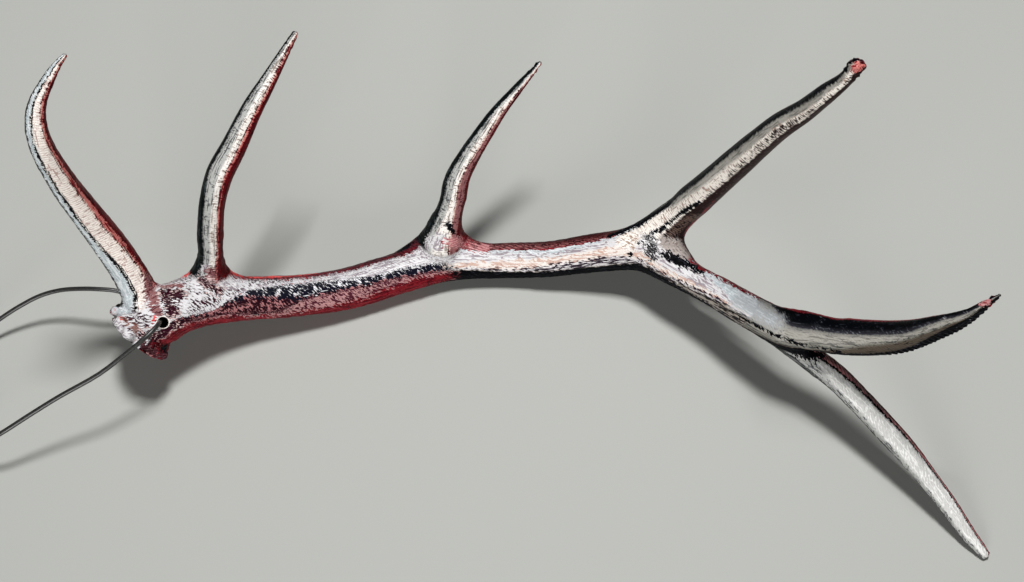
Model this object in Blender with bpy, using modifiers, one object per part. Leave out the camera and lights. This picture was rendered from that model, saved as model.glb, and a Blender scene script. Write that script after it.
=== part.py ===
"""A small elk antler ornament with six points, lying on its beam, with a cord through its base.

The antler is lofted branch by branch, melted into one skin so that every fork has its web,
and then parted at the main forks. All sizes below are in millimetres; +Z is up, and the
origin is under the middle of the antler, on the surface that it lies on.
"""

import math

import bmesh
import bpy
from mathutils import Matrix, Vector

MM = 0.001
GAP = 0.3  # clearance between neighbouring pieces

# ---------------------------------------------------------------- driving dimensions
# Each branch is a list of stations from its root to its tip: (x, y, z, half width).
BEAM = [
    (-86.0, -7.5, 12.5, 6.3),
    (-78.0, 0.0, 14.5, 6.0),
    (-72.5, 3.5, 13.5, 5.6),
    (-67.5, 5.5, 11.5, 5.2),
    (-60.5, 7.5, 9.0, 4.9),
    (-50.5, 9.5, 6.5, 4.6),
    (-39.5, 12.5, 4.7, 4.7),
    (-28.5, 16.5, 4.7, 4.7),
    (-17.5, 19.5, 4.3, 4.3),
    (-6.0, 20.0, 4.1, 4.1),
    (5.0, 19.5, 5.5, 4.1),
    (16.0, 19.5, 8.5, 4.4),
    (25.0, 18.5, 11.0, 4.7),
    (32.0, 12.5, 13.0, 3.8),
    (39.5, 6.5, 14.5, 3.5),
    (46.0, 0.5, 16.5, 3.7),
    (53.5, -6.0, 19.0, 3.8),
]
BROW = [
    (-82.0, -1.5, 16.0, 4.7),
    (-82.5, 3.0, 18.0, 4.2),
    (-83.5, 5.0, 22.0, 3.7),
    (-86.0, 7.5, 30.0, 3.5),
    (-89.0, 9.0, 41.0, 3.1),
    (-91.0, 9.5, 52.0, 2.7),
    (-92.0, 10.5, 63.0, 2.3),
    (-91.0, 13.0, 70.0, 1.8),
    (-87.0, 16.0, 76.0, 1.1),
    (-84.0, 18.0, 79.0, 0.6),
]
BEZ = [
    (-69.5, 6.5, 12.0, 3.8),
    (-69.0, 9.0, 16.0, 3.9),
    (-67.5, 10.5, 22.0, 3.0),
    (-66.5, 12.5, 29.0, 2.8),
    (-65.0, 15.0, 36.0, 2.7),
    (-63.0, 18.0, 41.0, 2.8),
    (-60.0, 21.5, 45.0, 2.6),
    (-56.0, 28.0, 49.5, 2.2),
    (-52.0, 35.5, 52.0, 1.6),
    (-47.7, 44.3, 54.2, 0.8),
]
TREZ = [
    (-19.5, 18.5, 6.0, 3.4),
    (-19.5, 21.0, 9.0, 4.6),
    (-18.0, 24.0, 14.0, 3.6),
    (-16.5, 27.0, 19.0, 3.1),
    (-15.5, 29.3, 23.0, 2.8),
    (-13.0, 32.3, 27.0, 2.4),
    (-9.8, 35.8, 30.5, 2.1),
    (-6.5, 39.5, 33.5, 1.7),
    (-2.8, 43.2, 35.9, 1.3),
    (2.6, 48.9, 39.0, 0.6),
]
ROYAL = [
    (25.0, 18.5, 11.0, 4.7),
    (28.5, 20.5, 15.0, 4.4),
    (32.0, 21.3, 20.0, 4.0),
    (36.0, 20.3, 30.0, 3.6),
    (42.0, 17.5, 47.0, 3.1),
    (46.5, 14.0, 62.0, 2.6),
    (50.0, 11.5, 71.0, 2.2),
    (52.0, 9.0, 79.0, 1.9),
    (54.0, 7.5, 85.0, 1.5),
    (55.2, 6.7, 90.4, 1.4),
]
FIFTH = [
    (46.0, 0.5, 16.5, 3.4),
    (53.5, -6.0, 19.0, 3.8),
    (60.0, -8.5, 22.0, 4.0),
    (66.5, -12.0, 27.0, 3.8),
    (72.5, -15.5, 34.0, 3.3),
    (76.5, -18.5, 43.0, 2.5),
    (80.0, -20.5, 51.0, 1.6),
    (82.0, -21.0, 57.0, 1.0),
    (83.5, -21.0, 60.0, 0.6),
]
TIP = [
    (46.0, 0.5, 15.5, 2.6),
    (51.7, -4.3, 15.2, 2.8),
    (57.7, -9.3, 15.0, 2.9),
    (63.7, -13.9, 13.8, 2.8),
    (68.7, -18.7, 12.0, 2.7),
    (72.5, -22.7, 10.5, 2.7),
    (77.0, -27.7, 9.0, 2.6),
    (81.5, -33.2, 7.0, 2.3),
    (86.0, -38.9, 4.7, 2.0),
    (90.5, -45.0, 2.0, 1.6),
    (93.5, -48.6, 0.75, 1.1),
]
# The webs that fill the forks, each from one branch across to the next.
WEBS = {
    "brow_side": [(-69.2, 11.3, 22.0, 1.3), (-71.5, 9.2, 17.0, 1.4), (-76.4, 5.9, 15.5, 1.8)],
    "bez_side": [(-65.6, 11.3, 22.0, 1.2), (-65.6, 10.8, 16.0, 1.3), (-62.0, 10.2, 10.5, 1.2)],
    "trez_near": [(-20.4, 26.0, 14.5, 1.4), (-23.0, 23.2, 9.0, 1.8), (-29.0, 19.8, 6.0, 1.8)],
    "trez_far": [(-15.7, 24.3, 13.5, 1.3), (-14.7, 23.5, 9.0, 1.4), (-10.5, 22.6, 6.0, 1.2)],
    "royal_side": [(33.3, 19.9, 21.5, 1.6), (32.2, 17.4, 16.5, 2.0), (35.4, 13.4, 14.0, 1.8)],
}

FACE = (0.1, -0.47, 0.87)  # the side of the antler that looks up; half widths are across it
# How deep each branch is from that side, as a share of its width.
DEPTHS = {"beam": 1.0, "brow": 0.92, "bez": 0.92, "trez": 0.9, "royal": 0.92, "fifth": 0.66, "tip": 0.78}

# The burr, the knobbly ring at the base.
BURR_CENTRE = (-82.6, -3.2, 13.5)
BURR_NORMAL = (-0.68, -0.62, -0.39)  # the way the base face looks
BURR_RADIUS = 6.6  # to the middle of the knobs
BURR_KNOBS = 17
KNOB_RADIUS = 1.5
BASE_STEP = 1.5  # from the ring's middle plane to the flat base

# The hole that the cord is threaded through.
HOLE_MOUTH = (-76.6, -3.9, 18.5)
HOLE_RADIUS = 1.15
HOLE_AXIS = (-0.24, 0.47, -0.85)

VOXEL = 0.45
SMOOTHING = 5
ANTLER_TRIANGLES = 6800
RING_SIDES = 20
SPAN_STEPS = 4

# Where the antler is parted, a point on the cut, the way the piece beyond it runs,
# and half the breadth and the length of the block that takes that piece in.
CUTS = {
    "brow": ((-84.5, 6.3, 26.0), (-0.12, 0.10, 0.98), 11.0, 64.0),
    "bez": ((-67.3, 11.0, 23.0), (0.30, 0.55, 0.78), 10.5, 62.0),
    "base": ((-57.5, 8.3, 8.3), (-0.97, -0.18, 0.1), 45.0, 60.0),
    "beam": ((-57.5, 8.3, 8.3), (0.97, 0.18, -0.1), 27.0, 104.0),
    "trez": ((-17.7, 25.0, 15.5), (0.35, 0.60, 0.72), 12.0, 50.0),
    "royal": ((32.3, 22.0, 22.5), (0.30, -0.20, 0.93), 12.0, 84.0),
    "crown": ((34.5, 10.7, 13.5), (0.70, -0.66, 0.2), 20.0, 46.0),
    "fifth": ((65.0, -11.0, 25.5), (0.50, -0.27, 0.82), 10.0, 52.0),
    "tip": ((65.5, -16.0, 13.2), (0.63, -0.73, -0.27), 9.0, 54.0),
}
# Each piece, the block that takes it in and the blocks that are taken off it.
PIECES = {
    "burr_base": ("base", ("brow", "bez")),
    "brow_tine": ("brow", ()),
    "bez_tine": ("bez", ()),
    "main_beam": ("beam", ("base", "trez", "royal", "crown")),
    "trez_tine": ("trez", ()),
    "royal_tine": ("royal", ()),
    "crown_beam": ("crown", ("royal", "fifth", "tip")),
    "fifth_tine": ("fifth", ()),
    "beam_tip": ("tip", ()),
}

# The cord, and its route from the coil through the hole and back to the coil.
CORD_DIAMETER = 1.0
CORD_STEP = 2.4
CORD_ROUTE = [
    (-128.8, -18.8, 0.6),
    (-126.0, -20.0, 0.7),
    (-122.8, -22.8, 1.7),
    (-119.0, -25.6, 4.2),
    (-114.5, -26.9, 7.6),
    (-109.1, -26.0, 11.0),
    (-102.9, -22.9, 13.4),
    (-96.5, -19.7, 15.7),
    (-88.3, -15.9, 18.3),
    (-82.1, -11.7, 20.6),
    (-78.6, -8.9, 21.7),
    (-76.6, -6.1, 21.2),
    (-76.6, -3.9, 18.5),
    (-77.9, -1.4, 13.9),
    (-79.2, 1.2, 9.2),
    (-80.4, 3.3, 6.8),
    (-83.0, 5.6, 7.2),
    (-86.0, 7.2, 9.4),
    (-89.5, 8.0, 11.0),
    (-93.3, 8.2, 11.5),
    (-97.8, 8.6, 11.0),
    (-102.5, 8.8, 10.0),
    (-107.1, 8.1, 8.8),
    (-111.7, 6.4, 7.2),
    (-116.2, 4.0, 5.6),
    (-120.5, 0.7, 4.3),
    (-124.8, -2.9, 3.2),
    (-128.8, -5.2, 2.6),
]
COIL_CENTRE = (-133.0, -12.0)
COIL_RADIUS = 5.6  # to the middle of its turns
BUNDLE_RADIUS = 1.6
COIL_POINTS = 28
TIE_ANGLE = 180.0  # degrees, the side of the coil that the tie is on
TIE_THICKNESS = 0.5
TIE_WIDTH = 1.6
TIE_LIFT = 0.8  # how far the tie lifts the turns off the surface


def new_collection(name):
    collection = bpy.data.collections.new(name)
    bpy.context.scene.collection.children.link(collection)
    return collection


def material(name, colour, roughness, metallic):
    made = bpy.data.materials.new(name)
    made.use_nodes = True
    shader = made.node_tree.nodes["Principled BSDF"]
    shader.inputs["Base Color"].default_value = (*colour, 1.0)
    shader.inputs["Roughness"].default_value = roughness
    shader.inputs["Metallic"].default_value = metallic
    return made


def adopt(obj, collection, finish=None):
    for other in list(obj.users_collection):
        other.objects.unlink(obj)
    collection.objects.link(obj)
    if finish:
        obj.data.materials.clear()
        obj.data.materials.append(finish)
    return obj


def evaluated_mesh(obj):
    bpy.context.view_layer.update()
    return bpy.data.meshes.new_from_object(obj.evaluated_get(bpy.context.evaluated_depsgraph_get()))


def through(points, steps):
    """A smooth line through the points, with steps stretches from each to the next."""
    rows = [Vector(p) for p in points]
    rows = [2 * rows[0] - rows[1], *rows, 2 * rows[-1] - rows[-2]]
    line = []
    for a, b, c, d in zip(rows, rows[1:], rows[2:], rows[3:]):
        for i in range(steps):
            t = i / steps
            line.append(
                0.5 * (2 * b + (c - a) * t + (2 * a - 5 * b + 4 * c - d) * t * t)
                + 0.5 * (3 * b - a - 3 * c + d) * t ** 3
            )
    return [*line, rows[-2]]


def loft(bm, stations, depth):
    """A closed branch with oval sections, round at both ends."""
    line = through(stations, SPAN_STEPS)
    centres = [p.to_3d() for p in line]
    face = Vector(FACE)
    rings = []
    for i, (centre, station) in enumerate(zip(centres, line)):
        along = (centres[min(i + 1, len(line) - 1)] - centres[max(i - 1, 0)]).normalized()
        across = along.cross(face).normalized()
        over = across.cross(along)
        half = station[3]
        ring = []
        for k in range(RING_SIDES):
            turn = 2 * math.pi * k / RING_SIDES
            offset = across * half * math.cos(turn) + over * half * depth * math.sin(turn)
            ring.append(bm.verts.new((centre + offset) * MM))
        rings.append(ring)
    for low, high in zip(rings, rings[1:]):
        for k in range(RING_SIDES):
            after = (k + 1) % RING_SIDES
            bm.faces.new((low[k], low[after], high[after], high[k]))
    for ring, end, inner in ((rings[0], 0, 1), (rings[-1], -1, -2)):
        outward = (centres[end] - centres[inner]).normalized() * line[end][3] * 0.6
        pole = bm.verts.new((centres[end] + outward) * MM)
        for k in range(RING_SIDES):
            bm.faces.new((ring[k], ring[(k + 1) % RING_SIDES], pole))


def burr_knobs(bm):
    """A ring of uneven knobs around the base."""
    normal = Vector(BURR_NORMAL).normalized()
    side = normal.cross(Vector((0, 0, 1))).normalized()
    up = side.cross(normal)
    for k in range(BURR_KNOBS):
        turn = 2 * math.pi * k / BURR_KNOBS
        swell = 1 + 0.22 * math.sin(5.3 * k) + 0.12 * math.sin(2.1 * k + 1)
        reach = BURR_RADIUS + 0.35 * math.sin(3.7 * k)
        middle = Vector(BURR_CENTRE) + reach * (side * math.cos(turn) + up * math.sin(turn))
        middle -= normal * 0.5 * math.sin(4.1 * k)
        place = Matrix.Translation(middle * MM)
        bmesh.ops.create_icosphere(bm, subdivisions=2, radius=KNOB_RADIUS * swell * MM, matrix=place)


def antler_skin():
    """The whole antler as one smooth closed mesh."""
    bm = bmesh.new()
    branches = {"beam": BEAM, "brow": BROW, "bez": BEZ, "trez": TREZ, "royal": ROYAL, "fifth": FIFTH, "tip": TIP}
    for name, stations in branches.items():
        loft(bm, stations, DEPTHS[name])
    for stations in WEBS.values():
        loft(bm, stations, 1.0)
    burr_knobs(bm)
    bmesh.ops.recalc_face_normals(bm, faces=bm.faces)
    mesh = bpy.data.meshes.new("antler_skin")
    bm.to_mesh(mesh)
    bm.free()
    skin = bpy.data.objects.new("antler_skin", mesh)
    bpy.context.scene.collection.objects.link(skin)
    melt = skin.modifiers.new("melt", "REMESH")
    melt.mode = "VOXEL"
    melt.voxel_size = VOXEL * MM
    soften = skin.modifiers.new("soften", "SMOOTH")
    soften.factor = 0.5
    soften.iterations = SMOOTHING
    fine = evaluated_mesh(skin)
    thin = skin.modifiers.new("thin", "DECIMATE")
    thin.ratio = ANTLER_TRIANGLES / (2 * len(fine.polygons))
    thinned = evaluated_mesh(skin)
    bpy.data.objects.remove(skin)
    bpy.data.meshes.remove(fine)
    return thinned


def block(cutters, name, point, direction, half_breadth, reach, shift):
    """A box whose root face is at the point, moved by shift along the way that it runs."""
    way = Vector(direction).normalized()
    bpy.ops.mesh.primitive_cube_add(size=1.0)
    made = adopt(bpy.context.object, cutters)
    made.name = name
    made.data.transform(Matrix.Diagonal((2 * half_breadth * MM, 2 * half_breadth * MM, reach * MM, 1)))
    made.rotation_euler = way.to_track_quat("Z", "Y").to_euler()
    made.location = (Vector(point) + way * (reach / 2 + shift)) * MM
    return made


def hide_cutters(cutters):
    for obj in cutters.objects:
        obj.hide_render = True
        obj.display_type = "WIRE"


def cut(obj, cutter, operation):
    boolean = obj.modifiers.new(f"{operation.lower()} {cutter.name}", "BOOLEAN")
    boolean.operation = operation
    boolean.solver = "EXACT"
    boolean.object = cutter


def base_cutters(cutters):
    """The block that leaves the base flat, and the drill for the cord."""
    normal = Vector(BURR_NORMAL).normalized()
    flat = block(cutters, "below_base", BURR_CENTRE, normal, 16.0, 16.0, BASE_STEP)
    way = Vector(HOLE_AXIS).normalized()
    bpy.ops.mesh.primitive_cylinder_add(vertices=20, radius=HOLE_RADIUS * MM, depth=24 * MM)
    drill = adopt(bpy.context.object, cutters)
    drill.name = "drill"
    drill.rotation_euler = way.to_track_quat("Z", "Y").to_euler()
    drill.location = (Vector(HOLE_MOUTH) + way * 6) * MM
    return [flat, drill]


def antler_pieces(parts, cutters, finish):
    skin = antler_skin()
    kept = {name: block(cutters, f"{name}_block", *values, 0.0) for name, values in CUTS.items()}
    gone = {name: block(cutters, f"{name}_clearance", *values, -GAP) for name, values in CUTS.items()}
    for name, (own, others) in PIECES.items():
        piece = adopt(bpy.data.objects.new(name, skin.copy()), parts, finish)
        cut(piece, kept[own], "INTERSECT")
        for other in others:
            cut(piece, gone[other], "DIFFERENCE")
        if name == "burr_base":
            for cutter in base_cutters(cutters):
                cut(piece, cutter, "DIFFERENCE")
    bpy.data.meshes.remove(skin)


def tube(name, points, radius, cyclic, parts, finish):
    curve = bpy.data.curves.new(name, "CURVE")
    curve.dimensions = "3D"
    curve.bevel_depth = radius * MM
    curve.bevel_resolution = 2
    curve.use_fill_caps = not cyclic
    spline = curve.splines.new("POLY")
    spline.points.add(len(points) - 1)
    for slot, point in zip(spline.points, points):
        slot.co = (*(Vector(point) * MM), 1.0)
    spline.use_cyclic_u = cyclic
    return adopt(bpy.data.objects.new(name, curve), parts, finish)


def cord_line():
    """The route's smooth curve, at even steps."""
    fine = through(CORD_ROUTE, 24)
    lengths = [0.0]
    for a, b in zip(fine, fine[1:]):
        lengths.append(lengths[-1] + (b - a).length)
    count = round(lengths[-1] / CORD_STEP)
    points = []
    at = 0
    for i in range(count + 1):
        goal = lengths[-1] * i / count
        while at < len(fine) - 2 and lengths[at + 1] < goal:
            at += 1
        share = (goal - lengths[at]) / (lengths[at + 1] - lengths[at])
        points.append(fine[at].lerp(fine[at + 1], share))
    return points


def coil_height(turn):
    """The middle of the coil's bundle, which the tie lifts on its side."""
    lift = max(0.0, math.cos(turn - math.radians(TIE_ANGLE))) ** 4
    return BUNDLE_RADIUS + TIE_LIFT * lift


def coil_and_tie(parts, finish):
    points = []
    for k in range(COIL_POINTS):
        turn = 2 * math.pi * k / COIL_POINTS
        x = COIL_CENTRE[0] + COIL_RADIUS * math.cos(turn)
        y = COIL_CENTRE[1] + COIL_RADIUS * math.sin(turn)
        points.append((x, y, coil_height(turn)))
    tube("cord_coil", points, BUNDLE_RADIUS, True, parts, finish)
    inner = BUNDLE_RADIUS + GAP
    bpy.ops.mesh.primitive_torus_add(
        major_radius=(inner + TIE_THICKNESS / 2) * MM,
        minor_radius=TIE_THICKNESS / 2 * MM,
        major_segments=18,
        minor_segments=6,
    )
    tie = adopt(bpy.context.object, parts, finish)
    tie.name = "cord_tie"
    tie.data.transform(Matrix.Diagonal((1, 1, TIE_WIDTH / TIE_THICKNESS, 1)))
    side = math.radians(TIE_ANGLE)
    tie.rotation_euler = (math.pi / 2, 0, side)
    tie.location = (
        (COIL_CENTRE[0] + COIL_RADIUS * math.cos(side)) * MM,
        (COIL_CENTRE[1] + COIL_RADIUS * math.sin(side)) * MM,
        coil_height(side) * MM,
    )


def main():
    for obj in list(bpy.data.objects):
        bpy.data.objects.remove(obj)
    parts = new_collection("elk_antler_ornament")
    cutters = new_collection("cutters")
    plastic = material("silk_plastic", (0.45, 0.40, 0.39), 0.35, 0.4)
    black = material("black_cord", (0.02, 0.02, 0.02), 0.5, 0.0)
    antler_pieces(parts, cutters, plastic)
    tube("cord", cord_line(), CORD_DIAMETER / 2, False, parts, black)
    coil_and_tie(parts, black)
    hide_cutters(cutters)


main()
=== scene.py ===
"""The looks of a small printed elk antler ornament: silk tri-colour plastic, and a thin black cord.

The antler is one print, so it is one mesh here, lofted from the same stations as its solids.
Its colours run in bands along each branch, because each colour of a tri-colour filament shows
on the side that faces it. Lengths are in millimetres unless a name says otherwise, and +Z is up.
"""

import math

import bmesh
import bpy
import numpy as np
from mathutils import Euler, Matrix, Vector, noise


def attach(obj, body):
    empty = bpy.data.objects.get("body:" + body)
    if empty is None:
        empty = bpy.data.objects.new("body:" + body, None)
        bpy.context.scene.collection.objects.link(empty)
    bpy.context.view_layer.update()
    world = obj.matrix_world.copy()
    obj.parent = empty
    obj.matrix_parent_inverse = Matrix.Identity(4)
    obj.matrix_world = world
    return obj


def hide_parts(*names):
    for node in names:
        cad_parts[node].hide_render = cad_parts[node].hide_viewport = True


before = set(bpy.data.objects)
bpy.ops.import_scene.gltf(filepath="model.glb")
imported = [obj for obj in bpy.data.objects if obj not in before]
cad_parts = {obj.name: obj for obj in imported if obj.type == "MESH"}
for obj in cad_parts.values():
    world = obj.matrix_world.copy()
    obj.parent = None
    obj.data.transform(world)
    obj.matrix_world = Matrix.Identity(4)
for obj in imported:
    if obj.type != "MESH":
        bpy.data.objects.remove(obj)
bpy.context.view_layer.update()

MM = 0.001

# ---- camera and light
CAMERA_PLACE = (-3.5, -147.1, 279.7)
CAMERA_ELEVATION = 60.0  # degrees above the surface, looking along +Y
CAMERA_LENS = 50.0
CAMERA_NEAR = 0.01  # metres
# The lamps: place, size, power in watts and aim.
LAMPS = {
    "key": ((27.5, 156, 766), 130, 6.6, (0, 0, 0)),
    "fill": ((-200, -1200, 300), 520, 12.0, (0, 0, 10)),
}
SKY_COLOUR = (0.9, 0.95, 1.0, 1)
SKY_STRENGTH = 0.02
FLOOR_WIDTH = 3000.0
FLOOR_DROP = 0.1  # keeps the floor below the plane that the part lies on
FLOOR_TONE = (170, 171, 166)
FLOOR_ROUGHNESS = 0.7

# ---- the cord
CORD_DIAMETER = 1.0
# The strand that leaves the hole in front, from inside the hole to the coil.
NEAR_STRAND = [
    (-77.7, -2.5, 16.2), (-77.2, -3.8, 18.6), (-76.9, -6.1, 21.2), (-78.6, -8.9, 21.7),
    (-82.1, -11.7, 20.6), (-88.3, -15.9, 18.3), (-96.5, -19.7, 15.7), (-102.9, -22.9, 13.4),
    (-109.1, -26, 11), (-114.5, -26.9, 7.6), (-119, -25.6, 4.2), (-122.8, -22.8, 1.7),
    (-126, -20, 0.7), (-128.8, -18.8, 0.6),
]
# The strand that comes back from the coil, behind the base and up into the hole.
FAR_STRAND = [
    (-128.8, -5.2, 2.6), (-124.8, -2.9, 3.2), (-120.5, 0.7, 4.3), (-116.2, 4, 5.6),
    (-111.7, 6.4, 7.2), (-107.1, 8.1, 8.8), (-102.5, 8.8, 10), (-97.8, 8.6, 11), (-93.3, 8.2, 11.5),
    (-89.5, 8, 11), (-86, 7.2, 9.4), (-83, 5.6, 7.2), (-80.4, 3.3, 6.8), (-79.2, 1.2, 9.2),
    (-78.5, -0.1, 11.6),
]
COIL_CENTRE = (-133.0, -12.0)
COIL_RADIUS = 5.6  # to the middle of its turns
COIL_START = -108.0  # degrees, where the near strand has joined the ring
COIL_TURNED = 6.42  # turns, clockwise seen from above
COIL_STEPS = 16  # points a turn
TURN_SPACING = 1.03
# Where in a turn the cord crosses to its next place in the bundle, how much sooner it does so
# each time, and over how long.
CROSSING_AT, CROSSING_LEAD, CROSSING_LENGTH = 0.93, 0.075, 0.09
BUNDLE_HEIGHT = 1.6  # of the middle of the turns
TIE_ANGLE = 180.0
TIE_LIFT = 0.8
TIE_BORE = 1.85
TIE_THICKNESS = 0.5
TIE_WIDTH = 1.6
CORD_DARK, CORD_PALE = (0.006, 0.006, 0.006, 1), (0.030, 0.029, 0.027, 1)
CORD_ROUGHNESS = (0.12, 0.34)  # times the weave's pattern, and added to it
WEAVE = 2600.0  # to a metre

# ---- the antler's shape
# Each branch is a list of stations from its root to its tip: (x, y, z, half width).
STATIONS = {
    "beam": [
        (-86, -7.5, 12.5, 6.3), (-78, 0, 14.5, 6), (-72.5, 3.5, 13.5, 5.6), (-67.5, 5.5, 11.5, 5.2),
        (-60.5, 7.5, 9, 4.9), (-50.5, 9.5, 6.5, 4.6), (-39.5, 12.5, 4.7, 4.7),
        (-28.5, 16.5, 4.7, 4.7), (-17.5, 19.5, 4.3, 4.3), (-6, 20, 4.1, 4.1), (5, 19.5, 5.5, 4.1),
        (16, 19.5, 8.5, 4.4), (25, 18.5, 11, 4.7), (32, 12.5, 13, 3.8), (39.5, 6.5, 14.5, 3.5),
        (46, 0.5, 16.5, 3.7), (53.5, -6, 19, 3.8),
    ],
    "brow": [
        (-82, -1.5, 16, 4.7), (-82.5, 3, 18, 4.2), (-83.5, 5, 22, 3.7), (-86, 7.5, 30, 3.5),
        (-89, 9, 41, 3.1), (-91, 9.5, 52, 2.7), (-92, 10.5, 63, 2.3), (-91, 13, 70, 1.8),
        (-87, 16, 76, 1.1), (-84, 18, 79, 0.6),
    ],
    "bez": [
        (-69.5, 6.5, 12, 3.8), (-69, 9, 16, 3.9), (-67.5, 10.5, 22, 3), (-66.5, 12.5, 29, 2.8),
        (-65, 15, 36, 2.7), (-63, 18, 41, 2.8), (-60, 21.5, 45, 2.6), (-56, 28, 49.5, 2.2),
        (-52, 35.5, 52, 1.6), (-47.7, 44.3, 54.2, 0.8),
    ],
    "trez": [
        (-19.5, 18.5, 6, 3.4), (-19.5, 21, 9, 4.6), (-18, 24, 14, 3.6), (-16.5, 27, 19, 3.1),
        (-15.5, 29.3, 23, 2.8), (-13, 32.3, 27, 2.4), (-9.8, 35.8, 30.5, 2.1),
        (-6.5, 39.5, 33.5, 1.7), (-2.8, 43.2, 35.9, 1.3), (2.6, 48.9, 39, 0.6),
    ],
    "royal": [
        (25, 18.5, 11, 4.7), (28.5, 20.5, 15, 4.4), (32, 21.3, 20, 4), (36, 20.3, 30, 3.6),
        (42, 17.5, 47, 3.1), (46.5, 14, 62, 2.6), (50, 11.5, 71, 2.2), (52, 9, 79, 1.9),
        (54, 7.5, 85, 1.5), (55.2, 6.7, 90.4, 1.4),
    ],
    "fifth": [
        (46, 0.5, 16.5, 3.4), (53.5, -6, 19, 3.8), (60, -8.5, 22, 4), (66.5, -12, 27, 3.8),
        (72.5, -15.5, 34, 3.3), (76.5, -18.5, 43, 2.5), (80, -20.5, 51, 1.6), (82, -21, 57, 1),
        (83.5, -21, 60, 0.6),
    ],
    "tip": [
        (46, 0.5, 15.5, 2.6), (51.7, -4.3, 15.2, 2.8), (57.7, -9.3, 15, 2.9),
        (63.7, -13.9, 13.8, 2.8), (68.7, -18.7, 12, 2.7), (72.5, -22.7, 10.5, 2.7),
        (77, -27.7, 9, 2.6), (81.5, -33.2, 7, 2.3), (86, -38.9, 4.7, 2), (90.5, -45, 2, 1.6),
        (93.5, -48.6, 0.75, 1.1),
    ],
}
# The webs that fill the forks, each from one branch across to the next.
WEBS = [
    [(-69.2, 11.3, 22, 1.3), (-71.5, 9.2, 17, 1.4), (-76.4, 5.9, 15.5, 1.8)],
    [(-65.6, 11.3, 22, 1.2), (-65.6, 10.8, 16, 1.3), (-62, 10.2, 10.5, 1.2)],
    [(-20.4, 26, 14.5, 1.4), (-23, 23.2, 9, 1.8), (-29, 19.8, 6, 1.8)],
    [(-15.7, 24.3, 13.5, 1.3), (-14.7, 23.5, 9, 1.4), (-10.5, 22.6, 6, 1.2)],
    [(33.3, 19.9, 21.5, 1.6), (32.2, 17.4, 16.5, 2), (35.4, 13.4, 14, 1.8)],
    [(15.6, 20, 10.7, 2), (21.1, 20.4, 13.8, 2), (25.4, 20.8, 16.9, 2), (28.8, 21.2, 20.6, 2),
     (32.4, 21, 25, 1.8)],
    [(50, -1.4, 18.8, 1.8), (56.7, -4.7, 22, 2), (63.5, -8.6, 25.3, 1.8)],
]
FACE = Vector((0.1, -0.47, 0.87))  # the side of the antler that looks up; half widths are across it
BAND_FRONT = (-3.5, -147.1, 279.7)  # the place that the bands' fronts look at
DEPTHS = {"beam": 1.0, "brow": 0.92, "bez": 0.92, "trez": 0.9, "royal": 0.92, "fifth": 0.66, "tip": 0.78}
BURR_CENTRE = (-82.6, -3.2, 13.5)
BURR_NORMAL = Vector((-0.68, -0.62, -0.39)).normalized()  # the way the base face looks
BURR_RADIUS = 6.6
BURR_KNOBS = 13
KNOB_RADIUS = 1.35
BASE_STEP = 1.5  # from the ring's middle plane to the flat base
# The groove above the knobs: its depth, half its width, and how far behind the ring's middle plane.
BURR_GROOVE, BURR_GROOVE_HALF, BURR_GROOVE_PLACE = 0.45, 0.8, 2.4
HOLE_MOUTH = (-76.6, -3.9, 18.5)
HOLE_RADIUS = 1.15
HOLE_AXIS = (-0.24, 0.47, -0.85)
HOLE_SIDE = (0.89, 0.454, 0)
# The bore's bends: how far along the axis, how far to its side, and the bore's radius there.
HOLE_BENDS = [(-6, 0, 1.15), (0, 0, 1.15), (4.5, 1.3, 0.95), (9, -0.6, 0.95), (18, 0, 1.15)]

VOXEL = 0.41  # the cells in which the skin is melted
RING_SIDES = 28
SPAN_STEPS, FIELD_STEPS = 6, 16  # between stations, in the mesh and in the colours' fields
BLOCK = 20000  # points measured at a time
SMOOTHING = 5  # rounds over the whole skin
FORK_SMOOTHING = 70  # more rounds in the forks
# The forks' zones: from where to where each runs, and how far it reaches.
FORKS = [
    ((-68.5, 11, 21), (-77, 5, 17), 6.5), ((-66, 11, 21), (-60.5, 10, 10), 6),
    ((-19.5, 26, 16.5), (-29, 19.5, 7), 6), ((-15.5, 24.5, 15), (-9, 22, 6.5), 5.5),
    ((29, 17.5, 13.5), (36.5, 12, 14.5), 7), ((33.5, 20, 23), (31, 17, 16), 6),
    ((52, -6, 16), (60, -12, 17.5), 4.5), ((20, 21, 13), (31, 21, 23.5), 4.5),
    ((53, -2.5, 20.5), (62, -7.5, 25), 3.5),
]
# Grooves in the surface: their way, half their width and their depth.
GROOVES = [
    ([(42.5, -0.8, 17.6), (50, -7.3, 20.2), (55.8, -10.4, 20.8), (62.9, -13.9, 24.3)], 0.35, 0.3),
    ([(38, 3, 16), (45, -3.4, 17.8), (52, -8.6, 19.2), (58.5, -11.8, 19.6)], 0.3, 0.22),
    ([(-8.6, 35.5, 31.5), (-10.2, 36.4, 32.2)], 0.3, 0.3),
    ([(-14.5, 33.5, 27.5), (-10.5, 33.5, 29.5)], 0.3, 0.18),
]
PEARLS = 0.9  # to a millimetre
PEARL_HEIGHTS = ((-90, 0.26), (-74, 0.16), (-60, 0.12), (-20, 0.07))  # by the place along X
PEARL_FADE = ((22, 1), (32, 0.3))  # by the height
# The ridges: how many to a millimetre across a branch and along it, and their height.
RIDGES, RIDGE_RUN, RIDGE_HEIGHT = 1.1, 0.12, 0.1
# The teeth on the fifth point's lower edge: their pitch, height, side, reach to it and start.
TOOTH, TOOTH_HEIGHT, TOOTH_SIDE, TOOTH_REACH, TOOTH_START = 1.3, 0.22, 1.05, 0.35, 30
# The branches with ragged ends: where that starts from the root, and how high it stands.
RAGGED_ENDS = (("royal", 83, 0.7), ("trez", 47, 0.35), ("fifth", 60, 0.25), ("bez", 60, 0.15))

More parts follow.
